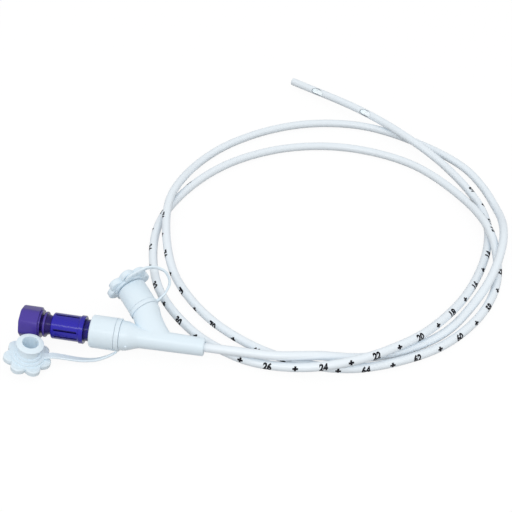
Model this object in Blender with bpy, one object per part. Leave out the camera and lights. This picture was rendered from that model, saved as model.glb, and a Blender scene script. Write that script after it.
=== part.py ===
# Nasogastric feeding tube with a two-port hub, its caps and a violet connector.
# All sizes are in metres. The hub's main axis runs along +X, from the port's mouth to the tube's
# outlet, and the part lies on the plane z = 0.

import bisect
import math

import bmesh
import bpy
from mathutils import Matrix, Quaternion, Vector

# Fits
GAP = 0.0003                    # gap between pieces that touch
SLIP = 0.0003                   # radial clearance of what is pushed into a bore
SQUEEZE = 0.00015               # what a soft plug is larger than its bore

# Main limb of the hub, measured along its axis from the port's mouth
PORT_RADIUS = 0.0059            # outer radius of the port's sleeve
PORT_LENGTH = 0.0090            # mouth to groove
PORT_LIP = 0.0007               # rounding of the mouth's edge
PORT_RECESS_RADIUS = 0.00497
PORT_BORE_RADIUS = 0.0046
PORT_BORE_END_RADIUS = 0.0042
PORT_BORE_DEPTH = 0.0083
RECESS_DEPTH = 0.0013           # both ports
BORE_CONE = 0.0013              # cone at the bottom of both bores
CUT_PAST = 0.001                # how far a cut runs past the face that it opens
GROOVE_WIDTH = 0.0018           # both ring grooves
GROOVE_DEPTH = 0.0014
SHOULDER_RADIUS = 0.00535       # just behind the groove
NECK_START = 0.0120
NECK_END = 0.0185
NECK_RADIUS = 0.00366
OUTLET_RADIUS = 0.00327
HUB_LENGTH = 0.0409
LUMEN_RADIUS = 0.0013
SOCKET_DEPTH = 0.0120           # how deep the tube sits in the outlet

# Side limb, measured along its axis from where it crosses the main axis
BRANCH_PLACE = 0.0266           # crossing point, from the mouth
BRANCH_ANGLE = 49.4             # degrees between the limbs
HUB_ROLL = 15.5                 # degrees round the main axis: the coil holds the limb up a little
SIDE_LENGTH = 0.0248            # crossing point to the side port's rim
SIDE_RADIUS = 0.00535
SIDE_SLEEVE = 0.0088            # rim to groove
SIDE_RECESS_RADIUS = 0.00455
SIDE_BORE_RADIUS = 0.00415
SIDE_BORE_END_RADIUS = 0.0038
SIDE_BORE_DEPTH = 0.0076
SIDE_GROOVE_DEPTH = 0.00125
SIDE_ROOT = 0.001               # how far the limb's narrow root reaches past the crossing point

# Sections of the side limb below its groove: share of the way from the crossing point to the
# groove, shift toward the crotch, half width in the plane of the limbs, half height
SIDE_SECTIONS = (
    (1.00, 0.00000, 0.00510, 0.00510),
    (0.86, 0.00033, 0.00527, 0.00490),
    (0.74, 0.00080, 0.00510, 0.00450),
    (0.62, 0.00118, 0.00502, 0.00410),
    (0.49, 0.00140, 0.00500, 0.00380),
    (0.31, 0.00135, 0.00465, 0.00360),
    (0.00, 0.00065, 0.00385, 0.00330),
)

# Feeding tube
TUBE_RADIUS = 0.001665
TUBE_POINTS = 80

# Caps, measured from the grip's flat end
PETALS = 7
PETAL_REACH = 0.0084
PETAL_VALLEY = 0.0064
GRIP_THICKNESS = 0.0023
GRIP_ROUNDING = 0.00035
FLANGE_RADIUS = 0.0058
FLANGE_THICKNESS = 0.0008
PLUG_STEP = 0.0010              # length of the plug's foot, which fills the port's recess
PLUG_LENGTH = 0.0048            # foot to end
PLUG_WALL = 0.0010
PLUG_NECKING = 0.0009           # how much slimmer than its head the plug's neck is
PLUG_HOLLOW_DEPTH = 0.0062
LIP_HEIGHT = 0.0014             # the plug's sealing lip, neck to end
LIP_RISE = 0.0004
LIP_TAPER = 0.0007
LIP_LAND = 0.0004
OPEN_CAP_PLACE = (-0.0199, -0.0137)   # centre of the open cap's grip, from the port's mouth
OPEN_CAP_LEAN = (12.0, 8.0)     # degrees that it leans toward +X and toward +Y, on the table
OPEN_CAP_TURN = 22.0            # direction of a gap between two of its petals
OPEN_STRAP_TURN = 13.0          # direction that its strap leaves it in

# Straps and their rings
STRAP_WIDTH = 0.0026
STRAP_END_WIDTH = 0.0020
STRAP_THICKNESS = 0.0008
STRAP_EASE = 0.0005             # how far the open strap comes in beside its ring's middle
RING_WIDTH = 0.0010
RING_THICKNESS = 0.00105
RING_EDGE = 0.00015
STRAP_TURN = 42.0               # where the open cap's strap joins its ring, degrees below -Y

# Violet connector, along the main axis
CONNECTOR_REACH = 0.0139        # from the port's mouth to the connector's mouth
GRIP_RADIUS = 0.0047
FLUTE_DEPTH = 0.0005
FLUTE_HALF_ANGLE = 4.6          # degrees
FLUTES = (-142.0, -107.3, -72.7, -38.0, 38.0, 72.7, 107.3, 142.0)
PANEL_ANGLE = 20.0              # direction of the plain panel, degrees from +Z toward -Y
COLLAR_RADIUS = 0.0051
COLLAR_WIDTH = 0.0017
COLLAR_PLACE = 0.0039           # collar's outer face, from the port's mouth
STEM_RADIUS = 0.0039
STEM_END_RADIUS = 0.0037
STEM_INSERTION = 0.0078         # how deep the stem reaches into the port
BARB_PLACE = 0.0030             # middle of the stem's holding ridge, from the port's mouth
BARB_WIDTH = 0.0016
SOCKET_RADIUS = 0.0034
CONNECTOR_SOCKET_DEPTH = 0.0080
CONNECTOR_LUMEN = 0.0015

# Screw cap, measured outward from the connector's mouth
HEAD_FLAT_RADIUS = 0.00555      # centre to a flat
HEAD_CORNER_RADIUS = 0.00585
HEAD_SIDES = 8
HEAD_TURN = 40.7                # one corner, degrees from +Z toward -Y
HEAD_LENGTH = 0.0069
HEAD_ROUNDING = 0.0005
HEAD_STEP_RADIUS = 0.0050
HEAD_STEP = 0.0006
HEAD_NECK_RADIUS = 0.0033
HEAD_NECK = 0.00095
DISC_RADIUS = 0.0046
DISC_THICKNESS = 0.0008
CONE_RADIUS = 0.0039
CONE_LENGTH = 0.0021
CAP_PLUG_LENGTH = 0.0054

ROUND_STEPS = 48

# Route of the tube's centre line from the hub's outlet to its soft end, read from the photograph:
# distance in front of the outlet, distance to its side, height above the table
TUBE_ROUTE = (
    (0.0114, 0.0005, 0.0055),
    (0.0256, 0.0010, 0.0057),
    (0.0405, 0.0043, 0.0050),
    (0.0563, 0.0087, 0.0019),
    (0.0721, 0.0152, 0.0017),
    (0.0869, 0.0269, 0.0017),
    (0.0983, 0.0443, 0.0024),
    (0.1049, 0.0588, 0.0062),
    (0.1084, 0.0777, 0.0073),
    (0.1067, 0.0984, 0.0019),
    (0.0952, 0.1192, 0.0018),
    (0.0747, 0.1326, 0.0017),
    (0.0493, 0.1399, 0.0017),
    (0.0238, 0.1362, 0.0019),
    (0.0009, 0.1241, 0.0017),
    (-0.0170, 0.1051, 0.0018),
    (-0.0261, 0.0789, 0.0053),
    (-0.0255, 0.0582, 0.0046),
    (-0.0177, 0.0358, 0.0018),
    (-0.0025, 0.0180, 0.0018),
    (0.0163, 0.0067, 0.0022),
    (0.0352, 0.0025, 0.0017),
    (0.0530, 0.0033, 0.0017),
    (0.0707, 0.0098, 0.0022),
    (0.0869, 0.0210, 0.0018),
    (0.1002, 0.0380, 0.0019),
    (0.1066, 0.0582, 0.0017),
    (0.1034, 0.0789, 0.0055),
    (0.0928, 0.1003, 0.0026),
    (0.0712, 0.1180, 0.0019),
    (0.0437, 0.1236, 0.0017),
    (0.0168, 0.1182, 0.0017),
    (-0.0066, 0.1031, 0.0019),
    (-0.0226, 0.0816, 0.0017),
    (-0.0293, 0.0576, 0.0017),
    (-0.0232, 0.0296, 0.0020),
    (-0.0071, 0.0105, 0.0018),
    (0.0125, 0.0008, 0.0017),
    (0.0310, -0.0011, 0.0030),
    (0.0478, 0.0016, 0.0054),
    (0.0645, 0.0104, 0.0056),
    (0.0808, 0.0248, 0.0047),
    (0.0952, 0.0480, 0.0023),
    (0.1030, 0.0741, 0.0017),
    (0.1011, 0.0957, 0.0017),
    (0.0868, 0.1184, 0.0019),
    (0.0668, 0.1327, 0.0054),
    (0.0447, 0.1487, 0.0044),
    (0.0134, 0.1654, 0.0023),
)

# Values worked out from the ones above
SIDE_GROOVE_END = SIDE_LENGTH - SIDE_SLEEVE
SIDE_GROOVE_START = SIDE_GROOVE_END - GROOVE_WIDTH
GROOVE_RADIUS = PORT_RADIUS - GROOVE_DEPTH
SIDE_GROOVE_RADIUS = SIDE_RADIUS - SIDE_GROOVE_DEPTH
RING_PLACE = PORT_LENGTH + GROOVE_WIDTH / 2
SIDE_RING_PLACE = SIDE_GROOVE_START + GROOVE_WIDTH / 2
CAP_FLANGE_TOP = GRIP_THICKNESS + FLANGE_THICKNESS
CAP_HEIGHT = CAP_FLANGE_TOP + PLUG_STEP + PLUG_LENGTH
ROLL = math.radians(HUB_ROLL)
# Place of the port's mouth, which centres the hub and its caps over the origin. The shares of
# the petals' reach allow for the ways that the petals point in.
LEFT_REACH = OPEN_CAP_PLACE[0] - PETAL_REACH * 0.914
MOUTH_X = -(LEFT_REACH + HUB_LENGTH) / 2
FRONT_REACH = OPEN_CAP_PLACE[1] - PETAL_REACH * 0.952
SIDE_CAP_END = SIDE_LENGTH + GAP + CAP_FLANGE_TOP
BACK_REACH = math.cos(ROLL) * (SIDE_CAP_END * math.sin(math.radians(BRANCH_ANGLE))
                               + PETAL_REACH * math.cos(math.radians(BRANCH_ANGLE)) * 1.03)
MOUTH_Y = -(FRONT_REACH + BACK_REACH) / 2


def port_bore(depth):
    # Radius of the main port's bore at a depth below its mouth.
    share = (depth - RECESS_DEPTH) / (PORT_BORE_DEPTH - RECESS_DEPTH)
    return PORT_BORE_RADIUS + (PORT_BORE_END_RADIUS - PORT_BORE_RADIUS) * share


def side_bore(depth):
    # Radius of the side port's bore at a depth below its rim.
    share = (depth - RECESS_DEPTH) / (SIDE_BORE_DEPTH - RECESS_DEPTH)
    return SIDE_BORE_RADIUS + (SIDE_BORE_END_RADIUS - SIDE_BORE_RADIUS) * share


def arc(centre_x, centre_r, radius, start, end, steps=5):
    # Points of an arc in an outline, angles in degrees from the axis direction.
    points = []
    for i in range(steps + 1):
        angle = math.radians(start + (end - start) * i / steps)
        points.append((centre_x + radius * math.cos(angle), centre_r + radius * math.sin(angle)))
    return points


def even_angles(count):
    return [360.0 * i / count for i in range(count)]


def ring_points(x, radius, angles, shift_y=0.0, stretch=1.0):
    # A ring round the X axis; angles are in degrees from +Z toward -Y.
    points = []
    for angle in angles:
        r = radius(angle) if callable(radius) else radius
        turn = math.radians(angle)
        points.append(Vector((x, shift_y - r * math.sin(turn), r * math.cos(turn) * stretch)))
    return points


def solid_from_rings(name, rings, closed=False):
    # A closed solid that joins each ring to the next one.
    bm = bmesh.new()
    loops = [[bm.verts.new(point) for point in ring] for ring in rings]
    pairs = list(zip(loops, loops[1:]))
    if closed:
        pairs.append((loops[-1], loops[0]))
    for first, second in pairs:
        for i in range(len(first)):
            j = (i + 1) % len(first)
            bm.faces.new((first[i], first[j], second[j], second[i]))
    if not closed:
        bm.faces.new(loops[0])
        bm.faces.new(loops[-1])
    bmesh.ops.recalc_face_normals(bm, faces=bm.faces)
    for edge in bm.edges:
        edge.smooth = edge.calc_face_angle(0.0) < math.radians(32.0)
    for face in bm.faces:
        face.smooth = True
    mesh = bpy.data.meshes.new(name)
    bm.to_mesh(mesh)
    bm.free()
    part = bpy.data.objects.new(name, mesh)
    bpy.context.collection.objects.link(part)
    return part


def turned(name, outline, closed=False, angles=None):
    # A solid of revolution round the X axis from an outline of (x, radius) points.
    angles = angles or even_angles(ROUND_STEPS)
    rings = [ring_points(x, radius, angles) for x, radius in outline]
    return solid_from_rings(name, rings, closed)


def smooth_path(points, steps):
    # A smooth curve through the points, with steps stretches between each two.
    ends = [points[0] * 2 - points[1]] + list(points) + [points[-1] * 2 - points[-2]]
    path = []
    for a, b, c, d in zip(ends, ends[1:], ends[2:], ends[3:]):
        for i in range(steps):
            t = i / steps
            path.append(0.5 * (2 * b + (c - a) * t + (2 * a - 5 * b + 4 * c - d) * t * t
                               + (3 * b - a - 3 * c + d) * t * t * t))
    path.append(points[-1].copy())
    return path


def even_path(path, count):
    # The path again, as points at even distances.
    lengths = [0.0]
    for a, b in zip(path, path[1:]):
        lengths.append(lengths[-1] + (b - a).length)
    points = []
    for i in range(count):
        goal = lengths[-1] * i / (count - 1)
        k = min(max(bisect.bisect_left(lengths, goal), 1), len(path) - 1)
        share = (goal - lengths[k - 1]) / (lengths[k] - lengths[k - 1])
        points.append(path[k - 1].lerp(path[k], share))
    return points


def ribbon(name, points, sides, widths):
    # A flat strap with rounded edges along a smooth path. Its width points as the first of the
    # two sides at its start and turns, slowly at first, to the second one at its end.
    path = even_path(smooth_path(points, 8), 5 * len(points))
    last = len(path) - 1
    ways = [(path[min(i + 1, last)] - path[max(i - 1, 0)]).normalized() for i in range(last + 1)]
    carried = [(sides[0] - ways[0] * sides[0].dot(ways[0])).normalized()]
    for before, after in zip(ways, ways[1:]):
        carried.append(before.rotation_difference(after) @ carried[-1])
    goal = (sides[1] - ways[-1] * sides[1].dot(ways[-1])).normalized()
    twist = math.atan2(carried[-1].cross(goal).dot(ways[-1]), carried[-1].dot(goal))
    rings = []
    for i, place in enumerate(path):
        share = i / last
        along = ways[i]
        side = Quaternion(along, twist * share * share) @ carried[i]
        up = along.cross(side)
        half = (widths[0] + (widths[1] - widths[0]) * share) / 2
        thick = STRAP_THICKNESS / 2
        edge = thick * 0.55
        section = ((half, thick - edge), (half - edge, thick), (edge - half, thick), (-half, thick - edge),
                   (-half, edge - thick), (edge - half, -thick), (half - edge, -thick), (half, edge - thick))
        rings.append([place + side * w + up * h for w, h in section])
    return solid_from_rings(name, rings)


def material(name, colour, roughness, metallic=0.0):
    item = bpy.data.materials.new(name)
    item.use_nodes = True
    shader = item.node_tree.nodes["Principled BSDF"]
    shader.inputs["Base Color"].default_value = (*colour, 1.0)
    shader.inputs["Roughness"].default_value = roughness
    shader.inputs["Metallic"].default_value = metallic
    return item


def place(part, parent, location=(0.0, 0.0, 0.0), finish=None):
    part.parent = parent
    part.location = location
    if finish:
        part.data.materials.append(finish)
    return part


def combine(part, other, operation):
    # A Boolean with a hidden operand.
    other.hide_render = True
    other.display_type = "WIRE"
    modifier = part.modifiers.new(other.name, "BOOLEAN")
    modifier.operation = operation
    modifier.solver = "EXACT"
    modifier.object = other


def empty(name, location, rotation=None, parent=None):
    item = bpy.data.objects.new(name, None)
    item.empty_display_size = 0.005
    bpy.context.collection.objects.link(item)
    item.parent = parent
    item.matrix_local = Matrix.Translation(location) @ (rotation or Matrix())
    return item


def groove_outline(start, outer, floor):
    return [(start, outer), (start, floor), (start + GROOVE_WIDTH, floor)]


def main_limb():
    outline = arc(PORT_LIP, PORT_RADIUS - PORT_LIP, PORT_LIP, 180.0, 90.0)
    outline += groove_outline(PORT_LENGTH, PORT_RADIUS, GROOVE_RADIUS)
    outline.append((PORT_LENGTH + GROOVE_WIDTH, SHOULDER_RADIUS))
    for i in range(9):
        share = i / 8
        ease = share * share * (3 - 2 * share)
        radius = SHOULDER_RADIUS + (NECK_RADIUS - SHOULDER_RADIUS) * ease
        outline.append((NECK_START + (NECK_END - NECK_START) * share, radius))
    outline.append((HUB_LENGTH - GAP, OUTLET_RADIUS))
    outline.append((HUB_LENGTH, OUTLET_RADIUS - GAP))
    return turned("y_connector", outline)


def side_limb():
    angles = even_angles(ROUND_STEPS)
    rings = [ring_points(-SIDE_ROOT, 2.5 * SIDE_ROOT, angles, 0.5 * SIDE_ROOT)]
    for share, shift, half_width, half_height in reversed(SIDE_SECTIONS):
        x = SIDE_GROOVE_START * share
        rings.append(ring_points(x, half_width, angles, shift, half_height / half_width))
    for x, radius in ((SIDE_GROOVE_START, SIDE_GROOVE_RADIUS), (SIDE_GROOVE_END, SIDE_GROOVE_RADIUS),
                      (SIDE_GROOVE_END, SIDE_RADIUS)):
        rings.append(ring_points(x, radius, angles))
    for x, radius in arc(SIDE_LENGTH - PORT_LIP, SIDE_RADIUS - PORT_LIP, PORT_LIP, 90.0, 0.0):
        rings.append(ring_points(x, radius, angles))
    return solid_from_rings("side_limb", rings)


def main_bore():
    socket = HUB_LENGTH - SOCKET_DEPTH
    outline = [(-CUT_PAST, PORT_RECESS_RADIUS), (RECESS_DEPTH, PORT_RECESS_RADIUS),
               (RECESS_DEPTH, PORT_BORE_RADIUS), (PORT_BORE_DEPTH, PORT_BORE_END_RADIUS),
               (PORT_BORE_DEPTH + BORE_CONE, LUMEN_RADIUS), (socket, LUMEN_RADIUS),
               (socket, TUBE_RADIUS + SLIP), (HUB_LENGTH + CUT_PAST, TUBE_RADIUS + SLIP)]
    return turned("main_bore", outline)


def side_port_bore():
    top = SIDE_LENGTH
    outline = [(0.0, LUMEN_RADIUS * 0.98), (top - SIDE_BORE_DEPTH - BORE_CONE, LUMEN_RADIUS * 0.98),
               (top - SIDE_BORE_DEPTH, SIDE_BORE_END_RADIUS), (top - RECESS_DEPTH, SIDE_BORE_RADIUS),
               (top - RECESS_DEPTH, SIDE_RECESS_RADIUS), (top + CUT_PAST, SIDE_RECESS_RADIUS)]
    return turned("side_bore", outline)


def flower_cap(name, foot_radius, head_radius):
    # A cap that stands on its grip with its plug up, along the X axis.
    angles = even_angles(PETALS * 12)

    def petal(inset):
        def radius(angle):
            wave = abs(math.cos(math.radians(angle) * PETALS / 2)) ** 0.84
            return PETAL_VALLEY + (PETAL_REACH - PETAL_VALLEY) * wave - inset
        return radius

    neck = head_radius - PLUG_NECKING
    hollow = neck - PLUG_WALL
    foot_top = CAP_FLANGE_TOP + PLUG_STEP
    outline = [(0.0, PETAL_VALLEY * 0.7), (0.0, petal(GRIP_ROUNDING)), (GRIP_ROUNDING, petal(0.0)),
               (GRIP_THICKNESS - GRIP_ROUNDING, petal(0.0)), (GRIP_THICKNESS, petal(GRIP_ROUNDING)),
               (GRIP_THICKNESS, FLANGE_RADIUS), (CAP_FLANGE_TOP, FLANGE_RADIUS),
               (CAP_FLANGE_TOP, foot_radius), (foot_top, foot_radius), (foot_top, neck),
               (CAP_HEIGHT - LIP_HEIGHT, neck), (CAP_HEIGHT - LIP_HEIGHT + LIP_RISE, head_radius),
               (CAP_HEIGHT - LIP_TAPER, head_radius), (CAP_HEIGHT, hollow + LIP_LAND),
               (CAP_HEIGHT, hollow), (CAP_HEIGHT - PLUG_HOLLOW_DEPTH, hollow)]
    return turned(name, outline, angles=angles)


def ring(name, groove_radius):
    # A round ring with small chamfers, centred on its own origin.
    inner = groove_radius + GAP
    outer = inner + RING_THICKNESS
    half = RING_WIDTH / 2
    outline = [(-half, inner + RING_EDGE), (-half, outer - RING_EDGE), (RING_EDGE - half, outer),
               (half - RING_EDGE, outer), (half, outer - RING_EDGE), (half, inner + RING_EDGE),
               (half - RING_EDGE, inner), (RING_EDGE - half, inner)]
    return turned(name, outline, closed=True)


def open_cap(main_axis, finish):
    # Ring, strap and flower cap in one moulding; the ring's centre is the origin.
    cap_ring = place(ring("main_cap", GROOVE_RADIUS), main_axis, (RING_PLACE, 0.0, 0.0), finish)
    flower = flower_cap("open_flower", PORT_RECESS_RADIUS - SLIP, PORT_BORE_RADIUS + SQUEEZE)
    flower.parent = main_axis
    upright = Matrix.Rotation(math.radians(-90.0), 4, "Y")
    turn = Matrix.Rotation(math.radians(OPEN_CAP_TURN), 4, "Z")
    up = Vector((*(math.tan(math.radians(lean)) for lean in OPEN_CAP_LEAN), 1.0)).normalized()
    tilt = Vector((0.0, 0.0, 1.0)).rotation_difference(up).to_matrix().to_4x4()
    height = PETAL_REACH * math.sqrt(1.0 - up.z * up.z) - PORT_RADIUS
    lying = Matrix.Translation((*OPEN_CAP_PLACE, height)) @ tilt
    flower.matrix_local = lying @ turn @ upright
    combine(cap_ring, flower, "UNION")

    # The strap leaves the flange in a gap between two petals and ends inside the ring
    away = Vector((math.cos(math.radians(OPEN_STRAP_TURN)), math.sin(math.radians(OPEN_STRAP_TURN)), 0.0))
    level = Vector((0.0, 0.0, CAP_FLANGE_TOP - FLANGE_THICKNESS / 2))
    turn = math.radians(STRAP_TURN)
    radial = Vector((0.0, -math.cos(turn), -math.sin(turn)))
    seat = GROOVE_RADIUS + GAP + RING_THICKNESS / 2
    points = [lying @ (level + away * (FLANGE_RADIUS - 1.5 * STRAP_THICKNESS)), lying @ (level + away * FLANGE_RADIUS)]
    points += [Vector((x, y, z - PORT_RADIUS)) for x, y, z in STRAP_ROUTE]
    points += [Vector((RING_PLACE - STRAP_EASE, 0.0, 0.0)) + radial * (seat + STRAP_THICKNESS + STRAP_EASE),
               Vector((RING_PLACE, 0.0, 0.0)) + radial * (seat + STRAP_THICKNESS),
               Vector((RING_PLACE, 0.0, 0.0)) + radial * seat]
    sides = (up.cross(away), Vector((0.0, math.sin(turn), -math.cos(turn))))
    strap = place(ribbon("open_strap", points, sides, (STRAP_WIDTH, STRAP_END_WIDTH)), main_axis)
    combine(cap_ring, strap, "UNION")
    return cap_ring


# Middle of the open cap's strap between flange and ring, from the port's mouth, z above the table
STRAP_ROUTE = (
    (-0.0113, -0.0114, 0.0034),
    (-0.0078, -0.0106, 0.0024),
    (-0.0020, -0.0099, 0.0013),
    (0.0032, -0.0090, 0.0013),
    (0.0065, -0.0074, 0.0015),
    (0.0084, -0.0060, 0.0016),
)
# Middle of the closed cap's strap: degrees round the side limb from the tube's side upward, then
# distance from the limb's axis and distance past the side port's rim
SIDE_STRAP_TURNS = (89.0, 79.0, 63.0, 49.0, 37.0, 27.0, 17.0, 9.0, 5.0)
SIDE_STRAP_ROUTE = (
    (0.0077, 0.0003),
    (0.0086, 0.0002),
    (0.0097, 0.0001),
    (0.0115, -0.0001),
    (0.0133, -0.0015),
    (0.0143, -0.0042),
    (0.0130, -0.0071),
    (0.0098, -0.0088),
    (0.0072, -0.0095),
)
SIDE_STRAP_START = 93.0
SIDE_STRAP_END = 3.0
SIDE_PETAL_TURN = 143.0


def round_side_limb(angle, distance, along):
    # A point in the side limb's frame: X along the limb, Z up, -Y toward the tube.
    turn = math.radians(angle)
    return Vector((along, -distance * math.cos(turn), distance * math.sin(turn)))


def side_strap(side_axis, finish):
    tether = place(ring("side_cap_strap", SIDE_GROOVE_RADIUS), side_axis, (SIDE_RING_PLACE, 0.0, 0.0), finish)
    flange = SIDE_LENGTH + FLANGE_THICKNESS / 2
    seat = SIDE_GROOVE_RADIUS + GAP + RING_THICKNESS / 2
    points = [round_side_limb(SIDE_STRAP_START, FLANGE_RADIUS + 1.5 * GAP, flange)]
    points += [round_side_limb(angle, distance, SIDE_LENGTH + past)
               for angle, (distance, past) in zip(SIDE_STRAP_TURNS, SIDE_STRAP_ROUTE)]
    points += [round_side_limb(SIDE_STRAP_END, seat + STRAP_THICKNESS, SIDE_RING_PLACE),
               round_side_limb(SIDE_STRAP_END, seat, SIDE_RING_PLACE)]

    across = [round_side_limb(angle + 90.0, 1.0, 0.0) for angle in (SIDE_STRAP_START, SIDE_STRAP_END)]
    strap = place(ribbon("side_strap", points, across, (STRAP_WIDTH, STRAP_END_WIDTH)), side_axis)
    combine(tether, strap, "UNION")
    return tether


def side_cap(side_axis, finish):
    depth = PLUG_STEP + PLUG_LENGTH
    head = side_bore(depth) - SLIP
    cap = flower_cap("side_cap", SIDE_RECESS_RADIUS - SLIP, head)
    place(cap, side_axis, finish=finish)
    turn = Matrix.Rotation(math.radians(SIDE_PETAL_TURN - 90.0), 4, "X")
    facing = Matrix.Rotation(math.radians(180.0), 4, "Z")
    cap.matrix_local = Matrix.Translation((SIDE_CAP_END, 0.0, 0.0)) @ turn @ facing
    return cap


def connector(main_axis, finish):
    angles = set()
    for flute in FLUTES:
        for offset in (-FLUTE_HALF_ANGLE, -FLUTE_HALF_ANGLE / 2, FLUTE_HALF_ANGLE / 2, FLUTE_HALF_ANGLE):
            angles.add((flute + offset) % 360.0)
    for angle in even_angles(ROUND_STEPS):
        if min(abs((angle - flute + 180.0) % 360.0 - 180.0) for flute in FLUTES) > FLUTE_HALF_ANGLE + 2.0:
            angles.add(angle)
    angles = [angle + PANEL_ANGLE for angle in sorted(angles)]

    def grip(angle):
        near = min(abs((angle - PANEL_ANGLE - flute + 180.0) % 360.0 - 180.0) for flute in FLUTES)
        return GRIP_RADIUS - (FLUTE_DEPTH if near < FLUTE_HALF_ANGLE * 0.9 else 0.0)

    mouth = -CONNECTOR_REACH
    collar_end = COLLAR_WIDTH - COLLAR_PLACE
    barb = port_bore(BARB_PLACE) - SLIP
    edge = GAP / 2
    outline = [(mouth, SOCKET_RADIUS), (mouth, GRIP_RADIUS - GAP), (mouth + GAP, GRIP_RADIUS),
               (mouth + 0.0009, GRIP_RADIUS), (mouth + 0.0013, grip),
               (-COLLAR_PLACE - 0.0008, grip), (-COLLAR_PLACE - 0.0004, GRIP_RADIUS),
               (-COLLAR_PLACE, GRIP_RADIUS), (-COLLAR_PLACE, COLLAR_RADIUS - edge),
               (-COLLAR_PLACE + edge, COLLAR_RADIUS), (collar_end - edge, COLLAR_RADIUS),
               (collar_end, COLLAR_RADIUS - edge), (collar_end, STEM_RADIUS),
               (BARB_PLACE - BARB_WIDTH / 2, STEM_RADIUS), (BARB_PLACE, barb),
               (BARB_PLACE + BARB_WIDTH / 2, (STEM_RADIUS + STEM_END_RADIUS) / 2),
               (STEM_INSERTION - GAP, STEM_END_RADIUS), (STEM_INSERTION, STEM_END_RADIUS - GAP),
               (STEM_INSERTION, CONNECTOR_LUMEN), (mouth + CONNECTOR_SOCKET_DEPTH, CONNECTOR_LUMEN),
               (mouth + CONNECTOR_SOCKET_DEPTH, SOCKET_RADIUS)]
    return place(turned("connector_adapter", outline, closed=True, angles=angles), main_axis, finish=finish)


def screw_cap(main_axis, finish):
    def head(inset):
        def radius(angle):
            half = 180.0 / HEAD_SIDES
            off_flat = (angle - HEAD_TURN) % (2 * half) - half
            flat = HEAD_FLAT_RADIUS / math.cos(math.radians(off_flat))
            return min(flat, HEAD_CORNER_RADIUS) - inset
        return radius

    def outward(distance):
        return -CONNECTOR_REACH - distance

    disc = CONE_LENGTH + 0.00005
    neck = disc + DISC_THICKNESS
    step = neck + HEAD_NECK
    start = step + HEAD_STEP
    end = start + HEAD_LENGTH
    small = HEAD_ROUNDING * 0.3
    edge = GAP / 2
    outline = [(outward(end), head(HEAD_ROUNDING)), (outward(end - small), head(small)),
               (outward(end - HEAD_ROUNDING), head(0.0)), (outward(start + small), head(0.0)),
               (outward(start), head(small)), (outward(start), HEAD_STEP_RADIUS),
               (outward(step), HEAD_STEP_RADIUS), (outward(step), HEAD_NECK_RADIUS),
               (outward(neck), HEAD_NECK_RADIUS), (outward(neck), DISC_RADIUS - edge),
               (outward(neck - edge), DISC_RADIUS), (outward(disc + edge), DISC_RADIUS),
               (outward(disc), DISC_RADIUS - edge), (outward(disc), CONE_RADIUS),
               (outward(0.0), SOCKET_RADIUS - SLIP), (outward(GAP - CAP_PLUG_LENGTH), SOCKET_RADIUS - SLIP),
               (outward(-CAP_PLUG_LENGTH), SOCKET_RADIUS - SLIP - GAP)]
    angles = [HEAD_TURN + angle for angle in even_angles(HEAD_SIDES * 6)]
    return place(turned("screw_cap", outline, angles=angles), main_axis, finish=finish)


def feeding_tube(main_axis, finish):
    # A bevelled curve from the socket's floor, out of the hub and along the route.
    start = HUB_LENGTH - SOCKET_DEPTH + GAP
    points = [Vector((start, 0.0, 0.0)), Vector((HUB_LENGTH, 0.0, 0.0))]
    points += [Vector((HUB_LENGTH + x, y, z - PORT_RADIUS)) for x, y, z in TUBE_ROUTE]
    path = even_path(smooth_path(points, 16), TUBE_POINTS)
    for point in path:
        point.z = max(point.z, TUBE_RADIUS - PORT_RADIUS)
    curve = bpy.data.curves.new("feeding_tube", "CURVE")
    curve.dimensions = "3D"
    curve.bevel_depth = TUBE_RADIUS
    curve.bevel_resolution = 2
    curve.use_fill_caps = True
    spline = curve.splines.new("POLY")
    spline.points.add(len(path) - 1)
    for point, where in zip(spline.points, path):
        point.co = (*where, 1.0)
    spline.use_smooth = True
    tube = bpy.data.objects.new("feeding_tube", curve)
    bpy.context.collection.objects.link(tube)
    return place(tube, main_axis, finish=finish)


def build():
    for item in list(bpy.data.objects):
        bpy.data.objects.remove(item)
    hub_white = material("hub_white", (0.80, 0.87, 0.94), 0.32)
    tube_white = material("tube_white", (0.78, 0.85, 0.93), 0.35)
    cap_white = material("cap_white", (0.80, 0.87, 0.94), 0.40)
    strap_white = material("strap_white", (0.80, 0.87, 0.94), 0.40)
    violet = material("violet", (0.045, 0.018, 0.33), 0.34)
    light_violet = material("light_violet", (0.12, 0.055, 0.36), 0.36)

    main_axis = empty("main_axis", (MOUTH_X, MOUTH_Y, PORT_RADIUS))
    rolled = Matrix.Rotation(ROLL, 4, "X") @ Matrix.Rotation(math.radians(180.0 - BRANCH_ANGLE), 4, "Z")
    side_axis = empty("side_axis", (BRANCH_PLACE, 0.0, 0.0), rolled, main_axis)

    hub = place(main_limb(), main_axis, finish=hub_white)
    combine(hub, place(side_limb(), side_axis), "UNION")
    combine(hub, place(main_bore(), main_axis), "DIFFERENCE")
    combine(hub, place(side_port_bore(), side_axis), "DIFFERENCE")
    feeding_tube(main_axis, tube_white)
    open_cap(main_axis, cap_white)
    side_strap(side_axis, strap_white)
    side_cap(side_axis, material("side_cap_white", (0.80, 0.87, 0.94), 0.40))
    connector(main_axis, violet)
    screw_cap(main_axis, light_violet)


build()
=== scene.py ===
import bisect
import math

import bmesh
import bpy
from mathutils import Matrix, Vector


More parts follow.
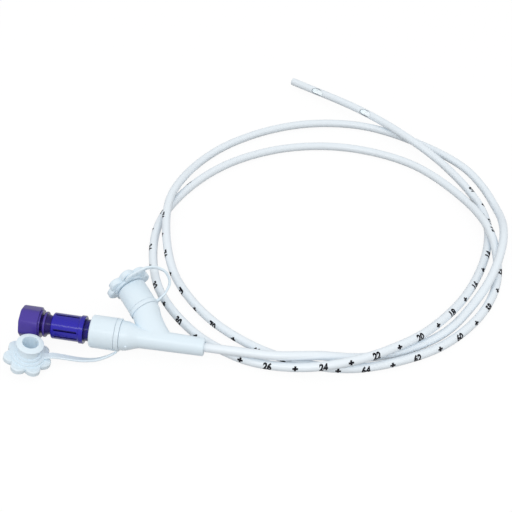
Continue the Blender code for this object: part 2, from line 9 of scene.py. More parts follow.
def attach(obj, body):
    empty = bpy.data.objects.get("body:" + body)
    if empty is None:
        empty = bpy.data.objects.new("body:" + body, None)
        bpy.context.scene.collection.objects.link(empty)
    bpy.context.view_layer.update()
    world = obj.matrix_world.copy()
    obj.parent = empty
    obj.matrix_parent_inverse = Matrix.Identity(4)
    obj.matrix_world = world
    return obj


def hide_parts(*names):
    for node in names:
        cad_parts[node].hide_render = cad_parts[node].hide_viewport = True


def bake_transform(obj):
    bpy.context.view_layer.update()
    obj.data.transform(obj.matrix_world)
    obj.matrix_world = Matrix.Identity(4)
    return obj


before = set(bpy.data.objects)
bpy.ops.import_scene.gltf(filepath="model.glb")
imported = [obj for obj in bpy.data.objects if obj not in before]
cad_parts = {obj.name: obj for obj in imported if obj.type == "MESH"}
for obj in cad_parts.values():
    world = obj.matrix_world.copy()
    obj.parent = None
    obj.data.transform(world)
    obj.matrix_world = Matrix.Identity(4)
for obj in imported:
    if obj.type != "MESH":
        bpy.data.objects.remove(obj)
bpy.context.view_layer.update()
scene = bpy.context.scene


def addObject(name, data):
    item = bpy.data.objects.new(name, data)
    scene.collection.objects.link(item)
    return item


# Camera, fitted to the tube's printed centimetre marks. Lengths are in metres and angles in degrees
view = {
    "place": (0.06597, -0.21883, 0.28810),
    "heading": 4.27,   # turn to the left of straight ahead
    "down": 46.82,
    "roll": 4.87,
    "lens": 70.31,     # millimetres, as is the sensor
    "sensor": 36.0,
    "near": 0.01,
    "far": 10.0,
}


def makeCamera():
    heading, down, roll = (math.radians(view[key]) for key in ("heading", "down", "roll"))
    forward = Vector((-math.sin(heading) * math.cos(down),
                      math.cos(heading) * math.cos(down),
                      -math.sin(down)))
    level = Vector((math.cos(heading), math.sin(heading), 0.0))
    upright = level.cross(forward)
    right = level * math.cos(roll) + upright * math.sin(roll)
    up = upright * math.cos(roll) - level * math.sin(roll)
    data = bpy.data.cameras.new("camera")
    data.lens = view["lens"]
    data.sensor_width = view["sensor"]
    data.clip_start = view["near"]
    data.clip_end = view["far"]
    camera = addObject("camera", data)
    turn = Matrix((right, up, -forward)).transposed()
    camera.matrix_world = Matrix.Translation(view["place"]) @ turn.to_4x4()
    scene.camera = camera


makeCamera()
print("camera made")

# Surface that all the plastics share: a group that gives a soft mottle and a fine grain
moulding = {
    "mottleDetail": 3.0,
    "grainDetail": 2.0,
    "bumpHeight": 0.0002,
}


def makeMouldingGroup():
    group = bpy.data.node_groups.new("moulded_surface", "ShaderNodeTree")
    for name, value in (("Mottle Scale", 120.0), ("Grain Scale", 2500.0), ("Grain Depth", 0.02)):
        socket = group.interface.new_socket(name, in_out="INPUT", socket_type="NodeSocketFloat")
        socket.default_value = value
    group.interface.new_socket("Mottle", in_out="OUTPUT", socket_type="NodeSocketFloat")
    group.interface.new_socket("Normal", in_out="OUTPUT", socket_type="NodeSocketVector")
    nodes, links = group.nodes, group.links
    enter = nodes.new("NodeGroupInput")
    leave = nodes.new("NodeGroupOutput")
    place = nodes.new("ShaderNodeTexCoord")

    def noise(scale, detail):
        node = nodes.new("ShaderNodeTexNoise")
        node.inputs["Detail"].default_value = detail
        links.new(place.outputs["Object"], node.inputs["Vector"])
        links.new(enter.outputs[scale], node.inputs["Scale"])
        return node.outputs["Fac"]

    mottle = noise("Mottle Scale", moulding["mottleDetail"])
    grain = noise("Grain Scale", moulding["grainDetail"])
    height = nodes.new("ShaderNodeMath")
    height.operation = "ADD"
    links.new(mottle, height.inputs[0])
    links.new(grain, height.inputs[1])
    bump = nodes.new("ShaderNodeBump")
    bump.inputs["Distance"].default_value = moulding["bumpHeight"]
    links.new(enter.outputs["Grain Depth"], bump.inputs["Strength"])
    links.new(height.outputs[0], bump.inputs["Height"])
    links.new(mottle, leave.inputs["Mottle"])
    links.new(bump.outputs["Normal"], leave.inputs["Normal"])
    return group


mouldingGroup = makeMouldingGroup()

# What most plastics share, and what is different in each
plain = {
    "mottleScale": 90.0,
    "grainScale": 1800.0,
    "grainDepth": 0.03,
    "rimBlend": 0.11,
    "roughness": 0.30,
    "ior": 1.45,
    "subsurface": 0.0,
    "subsurfaceRadius": (1.0, 1.0, 1.0),
    "subsurfaceDepth": 0.0010,
    "coat": 0.0,
    "coatRoughness": 0.08,
    "glow": 0.0,       # painted glow: emission standing in for light that comes through a thin pale wall
}
# Each plastic's second colour is a painted shade, blended in toward the outline where the surface
# turns away from the eye
looks = {
    "tube_plastic": {
        "colour": (0.875, 0.945, 1.0), "rim": (0.52, 0.58, 0.66), "mottleTint": (0.985, 0.99, 1.0),
        "subsurface": 0.10, "coat": 0.10,
    },
    # painted light: the hollow's inner wall is paler than the outside and glows faintly, standing in
    # for light through the thin wall
    "tube_lumen_painted_glow_plastic": {
        "colour": (0.95, 0.99, 1.0), "rim": (0.90, 0.95, 1.0), "mottleTint": (0.98, 0.99, 1.0),
        "subsurface": 0.10, "coat": 0.10, "glow": 0.14,
    },
    # painted shade: the eyes' cut faces are dark grey, standing in for the shade on the punched wall
    "tube_cut_painted_shade_plastic": {
        "colour": (0.36, 0.40, 0.44), "rim": (0.36, 0.40, 0.44), "mottleTint": (0.95, 0.96, 0.97),
        "roughness": 0.45,
    },
    "hub_plastic": {
        "colour": (0.80, 0.91, 0.985), "rim": (0.76, 0.87, 0.95), "mottleTint": (0.975, 0.985, 0.995),
        "mottleScale": 70.0, "grainScale": 1500.0, "grainDepth": 0.04, "rimBlend": 0.25,
        "roughness": 0.36, "subsurface": 0.08, "coat": 0.08,
    },
    "violet_plastic": {
        "colour": (0.024, 0.016, 0.45), "rim": (0.002, 0.0005, 0.10), "mottleTint": (0.80, 0.80, 0.92),
        "mottleScale": 260.0, "grainScale": 2600.0, "grainDepth": 0.05, "rimBlend": 0.45,
        "roughness": 0.20, "ior": 1.36, "coat": 0.05,
    },
    # painted shade: darker violets for the recessed faces of the connector and its cap
    "violet_painted_shade_plastic": {
        "colour": (0.006, 0.002, 0.115), "rim": (0.004, 0.001, 0.07), "mottleTint": (0.80, 0.80, 0.92),
        "mottleScale": 260.0, "grainScale": 2600.0, "grainDepth": 0.05, "rimBlend": 0.40,
        "roughness": 0.25, "ior": 1.30,
    },
    "light_violet_plastic": {
        "colour": (0.080, 0.048, 0.37), "rim": (0.020, 0.006, 0.12), "mottleTint": (0.85, 0.85, 0.95),
        "mottleScale": 200.0, "grainScale": 2600.0, "grainDepth": 0.05, "rimBlend": 0.45,
        "roughness": 0.20, "ior": 1.36, "coat": 0.05,
    },
    "light_violet_painted_shade_plastic": {
        "colour": (0.022, 0.008, 0.15), "rim": (0.012, 0.004, 0.09), "mottleTint": (0.85, 0.85, 0.95),
        "mottleScale": 200.0, "grainScale": 2600.0, "grainDepth": 0.05, "rimBlend": 0.40,
        "roughness": 0.25, "ior": 1.30,
    },
}


def makePlastic(name, look):
    material = bpy.data.materials.new(name)
    material.use_nodes = True
    nodes, links = material.node_tree.nodes, material.node_tree.links
    shader = nodes["Principled BSDF"]
    surface = nodes.new("ShaderNodeGroup")
    surface.node_tree = mouldingGroup
    surface.inputs["Mottle Scale"].default_value = look["mottleScale"]
    surface.inputs["Grain Scale"].default_value = look["grainScale"]
    surface.inputs["Grain Depth"].default_value = look["grainDepth"]
    # the plastic's own colour where it faces the eye, blending into a painted shade colour toward the
    # outline where the surface turns away
    facing = nodes.new("ShaderNodeLayerWeight")
    facing.inputs["Blend"].default_value = look["rimBlend"]
    edge = nodes.new("ShaderNodeMix")
    edge.data_type = "RGBA"
    edge.inputs["A"].default_value = (*look["colour"], 1.0)
    edge.inputs["B"].default_value = (*look["rim"], 1.0)
    links.new(facing.outputs["Facing"], edge.inputs["Factor"])
    vary = nodes.new("ShaderNodeMix")
    vary.data_type = "RGBA"
    vary.blend_type = "MULTIPLY"
    vary.inputs["B"].default_value = (*look["mottleTint"], 1.0)
    links.new(edge.outputs["Result"], vary.inputs["A"])
    links.new(surface.outputs["Mottle"], vary.inputs["Factor"])
    links.new(vary.outputs["Result"], shader.inputs["Base Color"])
    # painted glow: the surface colour is also given off as light, as strong as the plastic's glow
    # value
    links.new(vary.outputs["Result"], shader.inputs["Emission Color"])
    links.new(surface.outputs["Normal"], shader.inputs["Normal"])
    shader.inputs["Roughness"].default_value = look["roughness"]
    shader.inputs["IOR"].default_value = look["ior"]
    shader.inputs["Subsurface Weight"].default_value = look["subsurface"]
    shader.inputs["Subsurface Radius"].default_value = look["subsurfaceRadius"]
    shader.inputs["Subsurface Scale"].default_value = look["subsurfaceDepth"]
    shader.inputs["Coat Weight"].default_value = look["coat"]
    shader.inputs["Coat Roughness"].default_value = look["coatRoughness"]
    shader.inputs["Emission Strength"].default_value = look["glow"]
    return material


plastics = {name: makePlastic(name, {**plain, **look}) for name, look in looks.items()}
print("plastics made")


# Helpers for meshes
def meshObject(name, bm, materials, smooth=True):
    bmesh.ops.recalc_face_normals(bm, faces=bm.faces)
    for face in bm.faces:
        face.smooth = smooth
    mesh = bpy.data.meshes.new(name)
    bm.to_mesh(mesh)
    bm.free()
    for material in materials:
        mesh.materials.append(material)
    return addObject(name, mesh)


def finalMesh(item):
    # the object's mesh with its modifiers or its text worked out
    bpy.context.view_layer.update()
    return bpy.data.meshes.new_from_object(item.evaluated_get(bpy.context.evaluated_depsgraph_get()))


def joinLoops(bm, loops):
    for first, second in zip(loops, loops[1:]):
        for i in range(len(first)):
            j = (i + 1) % len(first)
            bm.faces.new((first[i], first[j], second[j], second[i]))


def smoothPath(points, steps):
    ends = [points[0] * 2 - points[1]] + list(points) + [points[-1] * 2 - points[-2]]
    path = []
    for a, b, c, d in zip(ends, ends[1:], ends[2:], ends[3:]):
        for i in range(steps):
            t = i / steps
            path.append(0.5 * (2 * b + (c - a) * t + (2 * a - 5 * b + 4 * c - d) * t * t
                               + (3 * b - a - 3 * c + d) * t * t * t))
    path.append(points[-1].copy())
    return path


def lengthsAlong(path):
    lengths = [0.0]
    for a, b in zip(path, path[1:]):
        lengths.append(lengths[-1] + (b - a).length)
    return lengths


# Feeding tube: the same route as the part's, from the hub's outlet to the soft end. The first
# stretch lies in the outlet's socket, and the last one is hollow, with two side eyes
tube = {
    "outlet": (0.03424, -0.00218, 0.0059),
    "inside": 0.0117,          # length in the socket
    "radius": 0.001665,
    "lumen": 0.00105,          # radius of the hollow
    "hollow": 0.055,           # length of the hollow, from the soft end
    "routeSteps": 24,          # fine steps between two points of the route
    "spacing": 0.0012,         # from one ring of the mesh to the next
    "sides": 28,
    "endRounding": 0.00022,
    "endRings": 4,
    "mouthBevel": 0.000088,
    "eyes": (0.0140, 0.0412),  # places from the soft end
    "eyeLength": 0.0052,
    "eyeWidth": 0.0028,
    "eyeRise": 30.0,           # above level, on the coil's inner side
    "eyeFlare": 0.12,
    "eyeSides": 28,
    "eyeReach": 1.3,           # how far the eye's punch goes out, in tube radii
}
tubeRoute = (
    (0.0114, 0.0005, 0.0055), (0.0256, 0.0010, 0.0057), (0.0405, 0.0043, 0.0050),
    (0.0563, 0.0087, 0.0019), (0.0721, 0.0152, 0.0017), (0.0869, 0.0269, 0.0017),
    (0.0983, 0.0443, 0.0024), (0.1049, 0.0588, 0.0062), (0.1084, 0.0777, 0.0073),
    (0.1067, 0.0984, 0.0019), (0.0952, 0.1192, 0.0018), (0.0747, 0.1326, 0.0017),
    (0.0493, 0.1399, 0.0017), (0.0238, 0.1362, 0.0019), (0.0009, 0.1241, 0.0017),
    (-0.0170, 0.1051, 0.0018), (-0.0261, 0.0789, 0.0053), (-0.0255, 0.0582, 0.0046),
    (-0.0177, 0.0358, 0.0018), (-0.0025, 0.0180, 0.0018), (0.0163, 0.0067, 0.0022),
    (0.0352, 0.0025, 0.0017), (0.0530, 0.0033, 0.0017), (0.0707, 0.0098, 0.0022),
    (0.0869, 0.0210, 0.0018), (0.1002, 0.0380, 0.0019), (0.1066, 0.0582, 0.0017),
    (0.1034, 0.0789, 0.0055), (0.0928, 0.1003, 0.0026), (0.0712, 0.1180, 0.0019),
    (0.0437, 0.1236, 0.0017), (0.0168, 0.1182, 0.0017), (-0.0066, 0.1031, 0.0019),
    (-0.0226, 0.0816, 0.0017), (-0.0293, 0.0576, 0.0017), (-0.0232, 0.0296, 0.0020),
    (-0.0071, 0.0105, 0.0018), (0.0125, 0.0008, 0.0017), (0.0310, -0.0011, 0.0030),
    (0.0478, 0.0016, 0.0054), (0.0645, 0.0104, 0.0056), (0.0808, 0.0248, 0.0047),
    (0.0952, 0.0480, 0.0023), (0.1030, 0.0741, 0.0017), (0.1011, 0.0957, 0.0017),
    (0.0868, 0.1184, 0.0019), (0.0668, 0.1327, 0.0054), (0.0447, 0.1487, 0.0044),
    (0.0134, 0.1654, 0.0023),
)
tubeMaterials = [plastics[name] for name in ("tube_plastic", "tube_lumen_painted_glow_plastic", "tube_cut_painted_shade_plastic")]
lumenIndex, cutShadeIndex = 1, 2


def tubePath():
    outlet = Vector(tube["outlet"])
    points = [outlet - Vector((tube["inside"], 0.0, 0.0)), outlet]
    points += [Vector((outlet.x + x, outlet.y + y, z)) for x, y, z in tubeRoute]
    fine = smoothPath(points, tube["routeSteps"])
    for point in fine:
        point.z = max(point.z, tube["radius"])
    lengths = lengthsAlong(fine)
    count = int(lengths[-1] / tube["spacing"])
    even = []
    for i in range(count + 1):
        goal = lengths[-1] * i / count
        k = min(max(bisect.bisect_left(lengths, goal), 1), len(fine) - 1)
        share = (goal - lengths[k - 1]) / (lengths[k] - lengths[k - 1])
        even.append(fine[k - 1].lerp(fine[k], share))
    return even, lengths[-1]


def tubeFrame(path, i):
    # direction, level side away from the coil's middle and the third axis at a point of the path
    along = (path[min(i + 1, len(path) - 1)] - path[max(i - 1, 0)]).normalized()
    outward = Vector((along.y, -along.x, 0.0)).normalized()
    return along, outward, outward.cross(along)


centre, tubeLength = tubePath()
tubeStep = tubeLength / (len(centre) - 1)


def tubeRing(bm, i, radius, shift=0.0):
    along, outward, up = tubeFrame(centre, i)
    ring = []
    for k in range(tube["sides"]):
        turn = 2 * math.pi * k / tube["sides"]
        side = outward * math.cos(turn) - up * math.sin(turn)
        ring.append(bm.verts.new(centre[i] + along * shift + side * radius))
    return ring


def makeTube():
    bm = bmesh.new()
    last = len(centre) - 1
    rounding = tube["endRounding"]
    loops = [tubeRing(bm, i, tube["radius"]) for i in range(last)]
    for k in range(tube["endRings"]):
        turn = math.radians(90.0 * k / (tube["endRings"] - 1))
        radius = tube["radius"] - rounding * (1 - math.cos(turn))
        loops.append(tubeRing(bm, last, radius, rounding * (math.sin(turn) - 1)))
    loops.append(tubeRing(bm, last, tube["lumen"] + tube["mouthBevel"]))
    loops.append(tubeRing(bm, last, tube["lumen"], -tube["mouthBevel"]))
    outside = len(bm.verts)
    for i in range(last - 1, last - int(tube["hollow"] / tubeStep), -1):
        loops.append(tubeRing(bm, i, tube["lumen"]))
    bm.verts.index_update()
    joinLoops(bm, loops)
    bm.faces.new(loops[0])
    bm.faces.new(loops[-1])
    for face in bm.faces:
        if all(v.index >= outside for v in face.verts):
            face.material_index = lumenIndex
    piece = meshObject("tube", bm, tubeMaterials)
    for place in tube["eyes"]:
        cutEye(piece, last - round(place / tubeStep))
    return piece


def cutEye(piece, i):
    # an oval punch through one wall, from the middle of the tube outward
    along, outward, up = tubeFrame(centre, i)
    rise = math.radians(tube["eyeRise"])
    side = Vector((0.0, 0.0, math.sin(rise))) - outward * math.cos(rise)
    across = side.cross(along)
    bm = bmesh.new()
    loops = []
    for depth in (0.0, tube["radius"] * tube["eyeReach"]):
        flare = 1.0 + tube["eyeFlare"] * depth / tube["radius"]
        ring = []
        for k in range(tube["eyeSides"]):
            angle = 2 * math.pi * k / tube["eyeSides"]
            spot = centre[i] + side * depth
            spot += along * math.cos(angle) * tube["eyeLength"] / 2 * flare
            spot += across * math.sin(angle) * tube["eyeWidth"] / 2 * flare
            ring.append(bm.verts.new(spot))
        loops.append(ring)
    joinLoops(bm, loops)
    bm.faces.new(loops[0])
    bm.faces.new(loops[-1])
    # the punch's faces become the eye's cut walls and take the painted shade plastic
    for face in bm.faces:
        face.material_index = cutShadeIndex
    punch = meshObject("punch", bm, tubeMaterials)
    cut = piece.modifiers.new("eye", "BOOLEAN")
    cut.operation = "DIFFERENCE"
    cut.object = punch
    mesh = finalMesh(piece)
    piece.modifiers.clear()
    piece.data = mesh
    bpy.data.objects.remove(punch)


tubePiece = makeTube()
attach(tubePiece, "hub")
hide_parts("feeding_tube")
print("tube made", round(tubeLength, 3), "m")

# Depth marks: a number at each even centimetre and a cross between, wrapped on the tube
marks = {
    "first": 10,
    "last": 76,
    "pitch": 0.00983,
    "start": 0.0019,     # place of centimetre 0, from the soft end
    "height": 0.0031,
    "width": 0.00155,    # of one digit
    "bold": 0.055,       # swelling of the strokes, in letter sizes
    "letterSteps": 3,
    "lift": 0.000018,    # above the tube's surface
    "slice": 0.00022,
    "cross": 0.0020,
    "stroke": 0.00075,
    "inkRoughness": 0.6,
    "inkSpecular": 0.15,
    "inkGrain": 3000.0,
    "inkDark": (0.002, 0.002, 0.004),
    "inkPale": (0.010, 0.010, 0.016),
}
# where the marks face round the tube: centimetre mark, degrees above the coil's outer side
markTurns = (
    (10, 52.0), (14, 48.0), (18, 45.0), (22, 36.0), (26, 31.0), (34, 20.0), (38, 14.0), (40, -15.0),
    (50, -15.0), (52, 10.0), (54, 35.0), (56, 48.0), (60, 38.0), (64, 16.0), (70, 2.0), (76, 14.0),
)
# where the tube is a little stretched or slack: centimetre mark, metres from its even place
markShifts = (
    (10, 0.0036), (13, 0.0030), (16, 0.0013), (22, 0.0), (27, 0.0), (29, -0.0010),
    (32, -0.0021), (34, -0.0021), (46, -0.0010), (56, 0.0), (72, 0.0), (76, -0.0018),
)


def makeInk():
    material = bpy.data.materials.new("printed_ink")
    material.use_nodes = True
    nodes, links = material.node_tree.nodes, material.node_tree.links
    shader = nodes["Principled BSDF"]
    shader.inputs["Roughness"].default_value = marks["inkRoughness"]
    shader.inputs["Specular IOR Level"].default_value = marks["inkSpecular"]
    grain = nodes.new("ShaderNodeTexNoise")
    grain.inputs["Scale"].default_value = marks["inkGrain"]
    ramp = nodes.new("ShaderNodeValToRGB")
    for stop, colour in zip(ramp.color_ramp.elements, (marks["inkDark"], marks["inkPale"])):
        stop.color = (*colour, 1.0)
    links.new(grain.outputs["Fac"], ramp.inputs["Fac"])
    links.new(ramp.outputs["Color"], shader.inputs["Base Color"])
    return material


def betweenMarks(rows, mark):
    for (low, a), (high, b) in zip(rows, rows[1:]):
        if mark <= high:
            return a + (b - a) * (mark - low) / (high - low)
    return rows[-1][1]


def numberOutline(text):
    curve = bpy.data.curves.new("number", "FONT")
    curve.body = text
    curve.align_x = "CENTER"
    curve.offset = marks["bold"]
    curve.resolution_u = marks["letterSteps"]
    item = addObject("number", curve)
    mesh = finalMesh(item)
    bm = bmesh.new()
    bm.from_mesh(mesh)
    bpy.data.objects.remove(item)
    bpy.data.meshes.remove(mesh)
    low = min(v.co.y for v in bm.verts)
    high = max(v.co.y for v in bm.verts)
    left = min(v.co.x for v in bm.verts)
    right = max(v.co.x for v in bm.verts)
    for v in bm.verts:
        v.co.x = (v.co.x - (left + right) / 2) / (right - left) * marks["width"] * len(text)
        v.co.y = ((v.co.y - low) / (high - low) - 0.5) * marks["height"]
        v.co.z = 0.0
    return bm


def crossOutline():
    bm = bmesh.new()
    arm = marks["cross"] / 2
    stroke = marks["stroke"] / 2
    for wide, tall in ((arm, stroke), (stroke, arm)):
        corners = ((-wide, -tall), (wide, -tall), (wide, tall), (-wide, tall))
        bm.faces.new([bm.verts.new((x, y, 0.0)) for x, y in corners])
    return bm


def sliced(bm):
    # cuts a flat mark into thin bands, so that it can bend round the tube
    steps = int(marks["height"] / marks["slice"])
    for k in range(-steps, steps + 1):
        bmesh.ops.bisect_plane(bm, geom=bm.verts[:] + bm.edges[:] + bm.faces[:],
                               plane_co=(0.0, k * marks["slice"], 0.0), plane_no=(0.0, 1.0, 0.0))
    return bm


def wrapMark(target, flat, mark):
    fromEnd = marks["start"] + marks["pitch"] * mark + betweenMarks(markShifts, mark)
    turn = math.radians(betweenMarks(markTurns, mark))
    radius = tube["radius"] + marks["lift"]
    made = {}
    for v in flat.verts:
        where = (tubeLength - fromEnd + v.co.x) / tubeStep
        i = int(where)
        along, outward, up = tubeFrame(centre, i)
        spot = centre[i].lerp(centre[i + 1], where - i)
        angle = turn + v.co.y / tube["radius"]
        side = outward * math.cos(angle) + Vector((0.0, 0.0, 1.0)) * math.sin(angle)
        made[v] = target.verts.new(spot + side * radius)
    for face in flat.faces:
        target.faces.new([made[v] for v in face.verts])
    flat.free()


def makeMarks():
    target = bmesh.new()
    for mark in range(marks["first"], marks["last"] + 1):
        flat = numberOutline(str(mark)) if mark % 2 == 0 else crossOutline()
        wrapMark(target, sliced(flat), mark)
    return meshObject("depth_marks", target, [makeInk()])


marksPiece = makeMarks()
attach(marksPiece, "hub")
print("marks made")

# Hub, caps, straps and connector: each is a copy of its CAD node with its points joined, so that
# round faces shade smooth while edges that turn by more than its sharp angle stay crisp
hub = {
    "crossing": (0.01994, -0.00218, 0.0059),     # where the limb's axis meets the port's
    "portWay": (-1.0, 0.0, 0.0),
    "limbWay": (-0.65077, 0.73166, 0.20291),
    "bendFrom": 0.0172,                          # the closed cap's strap bends between these
    "bendTo": 0.0243,                            # two places on the limb's axis
    "joinWithin": 0.000002,
    "pieces": (
        {"name": "hub", "node": "y_connector", "body": "hub",
         "plastic": "hub_plastic", "slot": "hub_white", "sharp": 33.0},
        {"name": "open_cap_and_strap", "node": "main_cap", "body": "open_cap",
         "plastic": "hub_plastic", "slot": "cap_white", "sharp": 33.0},
        {"name": "closed_cap", "node": "side_cap", "body": "side_plug",
         "plastic": "hub_plastic", "slot": "side_cap_white", "sharp": 33.0},
        {"name": "closed_cap_strap", "node": "side_cap_strap", "body": None,
         "plastic": "hub_plastic", "slot": "strap_white", "sharp": 33.0},
        # painted shade parts: faces nearer the port's axis than the first number, between two places
        # along it, take a darker painted shade plastic
        {"name": "connector", "node": "connector_adapter", "body": "adapter",
         "plastic": "violet_plastic", "slot": "violet", "sharp": 24.0,
         "shadePlastic": "violet_painted_shade_plastic",
         "shadedParts": ((0.00455, -0.0190, -0.0114), (0.0043, -0.0092, -0.0060))},
        {"name": "connector_cap", "node": "screw_cap", "body": "cap",
         "plastic": "light_violet_plastic", "slot": "light_violet", "sharp": 24.0,
         "shadePlastic": "light_violet_painted_shade_plastic",
         "shadedParts": ((0.0043, -0.0270, -0.0190),)},
    ),
}


def smoothCopy(piece):
    bm = bmesh.new()
    bm.from_mesh(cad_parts[piece["node"]].data)
    bmesh.ops.remove_doubles(bm, verts=bm.verts, dist=hub["joinWithin"])
    for face in bm.faces:
        face.smooth = True
        face.material_index = 0
    mesh = bpy.data.meshes.new(piece["name"])
    bm.to_mesh(mesh)
    bm.free()
    for layer in ("custom_normal", "sharp_edge"):
        if layer in mesh.attributes:
            mesh.attributes.remove(mesh.attributes[layer])
    mesh.set_sharp_from_angle(angle=math.radians(piece["sharp"]))
    mesh.materials.append(plastics[piece["plastic"]])
    return addObject(piece["name"], mesh)


def shadeDeepParts(item, piece):
    # painted shade: flutes, necks and stems are coloured darker than the ribs, standing in for the
    # shade in these recesses
    item.data.materials.append(plastics[piece["shadePlastic"]])
    shadeIndex = len(item.data.materials) - 1
    axisY, axisZ = hub["crossing"][1:]
    for face in item.data.polygons:
        spot = face.center
        away = math.hypot(spot.y - axisY, spot.z - axisZ)
        for inside, low, high in piece["shadedParts"]:
            if away < inside and low < spot.x < high:
                face.material_index = shadeIndex


def makeHub():
    for piece in hub["pieces"]:
        item = smoothCopy(piece)
        if piece["body"]:
            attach(item, piece["body"])
        else:
            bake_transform(item)
        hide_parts(piece["node"])
        if "shadedParts" in piece:
            even = item.modifiers.new("even", "WEIGHTED_NORMAL")
            even.keep_sharp = True
            shadeDeepParts(item, piece)


makeHub()
print("hub, caps, straps and connector made")

# Soft rings of the two straps, close in the hub's grooves. A ring's place is the distance of its
# middle from the crossing, and half is half of its width
rings = {
    "sides": 72,
    "rounding": 0.00022,
    "roundingPoints": 5,
    "pieces": (
        {"name": "closed_strap_ring", "body": "side_tether", "slot": "strap_white", "way": "limbWay",
         "place": 0.0151, "inner": 0.0043, "outer": 0.00550, "half": 0.00083},
        {"name": "open_strap_ring", "body": "open_cap", "slot": "cap_white", "way": "portWay",
         "place": 0.0167, "inner": 0.0047, "outer": 0.00595, "half": 0.00083},
    ),
}


def makeRing(ring):
    edge, half, outer = rings["rounding"], ring["half"], ring["outer"]
    outline = [(-half, ring["inner"])]
    for k in range(rings["roundingPoints"]):
        turn = math.radians(90.0 * k / (rings["roundingPoints"] - 1))
        outline.append((-half + edge - edge * math.cos(turn), outer - edge + edge * math.sin(turn)))
    outline += [(-along, radius) for along, radius in reversed(outline)]
    way = Vector(hub[ring["way"]])
    side = way.orthogonal().normalized()
    other = way.cross(side)
    middle = Vector(hub["crossing"]) + way * ring["place"]
    bm = bmesh.new()
    loops = []
    for along, radius in outline:
        loop = []
        for k in range(rings["sides"]):
            turn = 2 * math.pi * k / rings["sides"]
            out = side * math.cos(turn) + other * math.sin(turn)
            loop.append(bm.verts.new(middle + way * along + out * radius))
        loops.append(loop)
    loops.append(loops[0])
    joinLoops(bm, loops)
    item = meshObject(ring["name"], bm, [plastics["hub_plastic"]])
    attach(item, ring["body"])


for ring in rings["pieces"]:
    makeRing(ring)
print("rings made")

# Small dome where the hub's mould was filled, between the port's groove and the side limb
gate = {
    "place": 0.00685,
    "fromAxis": 0.00512,
    "turn": 86.6,      # from straight up toward the front
    "radius": 0.00046,
    "sides": 24,
    "levels": 12,      # bands from tip to tip
}


def makeGate():
    turn = math.radians(gate["turn"])
    out = Vector((0.0, -math.sin(turn), math.cos(turn)))
    middle = Vector((gate["place"], *hub["crossing"][1:])) + out * gate["fromAxis"]
    bm = bmesh.new()
    loops = []
    for level in range(1, gate["levels"]):
        lean = math.pi * level / gate["levels"]
        loop = []
        for k in range(gate["sides"]):
            angle = 2 * math.pi * k / gate["sides"]
            way = Vector((math.sin(lean) * math.cos(angle),
                          math.sin(lean) * math.sin(angle),
                          math.cos(lean)))
            loop.append(bm.verts.new(middle + way * gate["radius"]))
        loops.append(loop)
    joinLoops(bm, loops)
    for loop, end in ((loops[0], 1.0), (loops[-1], -1.0)):
        tip = bm.verts.new(middle + Vector((0.0, 0.0, end * gate["radius"])))
        for k in range(gate["sides"]):
            bm.faces.new((tip, loop[k - 1], loop[k]))
    item = meshObject("gate_mark", bm, [plastics["hub_plastic"]])
    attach(item, "hub")


makeGate()
print("gate mark made")

# Floor that is white to the camera and keeps a faint shadow, but grey to the object above it
ground = {
    "half": 3.0,
    "height": -0.00005,
    "share": 0.90,      # of plain white in what the camera sees of the floor
    "white": 1.02,      # strength of that plain white
    "pale": 0.95,       # grey level of the rest
    "grey": 0.28,       # grey level that the object gets back from the floor
    "roughness": 0.9,
    "specular": 0.1,
}
white = (1.0, 1.0, 1.0, 1.0)


def seenRays(tree):
    # 1 for rays from the camera and for those of mirror-like and clear materials, else 0
    path = tree.nodes.new("ShaderNodeLightPath")
    either = path.outputs["Is Camera Ray"]
    for ray in ("Is Glossy Ray", "Is Transmission Ray"):
        both = tree.nodes.new("ShaderNodeMath")
        both.operation = "MAXIMUM"
        tree.links.new(either, both.inputs[0])
        tree.links.new(path.outputs[ray], both.inputs[1])
        either = both.outputs[0]
    return either


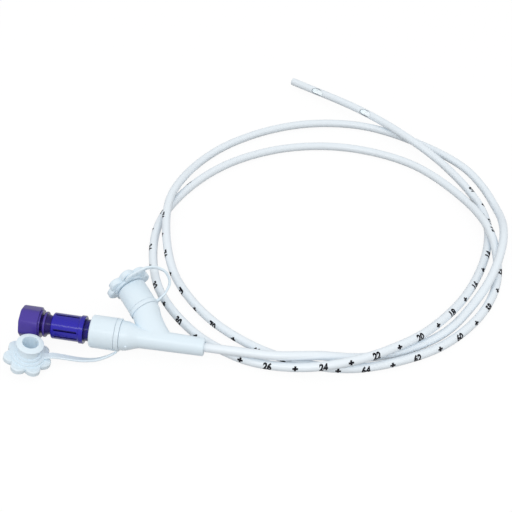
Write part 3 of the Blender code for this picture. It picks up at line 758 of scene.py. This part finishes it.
def makeFloor():
    material = bpy.data.materials.new("white_floor")
    material.use_nodes = True
    nodes, links = material.node_tree.nodes, material.node_tree.links
    shader = nodes["Principled BSDF"]
    shader.inputs["Roughness"].default_value = ground["roughness"]
    shader.inputs["Specular IOR Level"].default_value = ground["specular"]
    seen = seenRays(material.node_tree)
    colour = nodes.new("ShaderNodeMix")
    colour.data_type = "RGBA"
    colour.inputs["A"].default_value = (*[ground["grey"]] * 3, 1.0)
    colour.inputs["B"].default_value = (*[ground["pale"]] * 3, 1.0)
    links.new(seen, colour.inputs["Factor"])
    links.new(colour.outputs["Result"], shader.inputs["Base Color"])
    share = nodes.new("ShaderNodeMath")
    share.operation = "MULTIPLY"
    share.inputs[1].default_value = ground["share"]
    links.new(seen, share.inputs[0])
    glow = nodes.new("ShaderNodeEmission")
    glow.inputs["Color"].default_value = white
    glow.inputs["Strength"].default_value = ground["white"]
    blend = nodes.new("ShaderNodeMixShader")
    links.new(share.outputs[0], blend.inputs["Fac"])
    links.new(shader.outputs["BSDF"], blend.inputs[1])
    links.new(glow.outputs["Emission"], blend.inputs[2])
    links.new(blend.outputs["Shader"], nodes["Material Output"].inputs["Surface"])
    bm = bmesh.new()
    bmesh.ops.create_grid(bm, x_segments=1, y_segments=1, size=ground["half"])
    floor = meshObject("floor", bm, [material], smooth=False)
    floor.location.z = ground["height"]


makeFloor()
print("floor made")

# Light: a long lamp above the camera's side, and a white room
lamp = {
    "place": (0.03, -0.33, 0.50),
    "target": (0.03, 0.0, 0.0),
    "long": 0.40,
    "wide": 0.07,
    "power": 0.80,
}
room = {
    "strength": 0.80,       # on the object
    "seenStrength": 1.0,    # where the room itself is seen
}


def makeLamp():
    data = bpy.data.lights.new("long_lamp", "AREA")
    data.shape = "RECTANGLE"
    data.size = lamp["long"]
    data.size_y = lamp["wide"]
    data.energy = lamp["power"]
    item = addObject("long_lamp", data)
    item.location = lamp["place"]
    way = Vector(lamp["target"]) - Vector(lamp["place"])
    item.rotation_euler = way.to_track_quat("-Z", "Y").to_euler()


def makeRoom():
    world = bpy.data.worlds.new("white_room")
    world.use_nodes = True
    nodes, links = world.node_tree.nodes, world.node_tree.links
    background = nodes["Background"]
    background.inputs["Color"].default_value = white
    strength = nodes.new("ShaderNodeMapRange")
    strength.inputs["To Min"].default_value = room["strength"]
    strength.inputs["To Max"].default_value = room["seenStrength"]
    links.new(seenRays(world.node_tree), strength.inputs["Value"])
    links.new(strength.outputs["Result"], background.inputs["Strength"])
    scene.world = world


makeLamp()
makeRoom()
scene.view_settings.view_transform = "Standard"
print("light made")
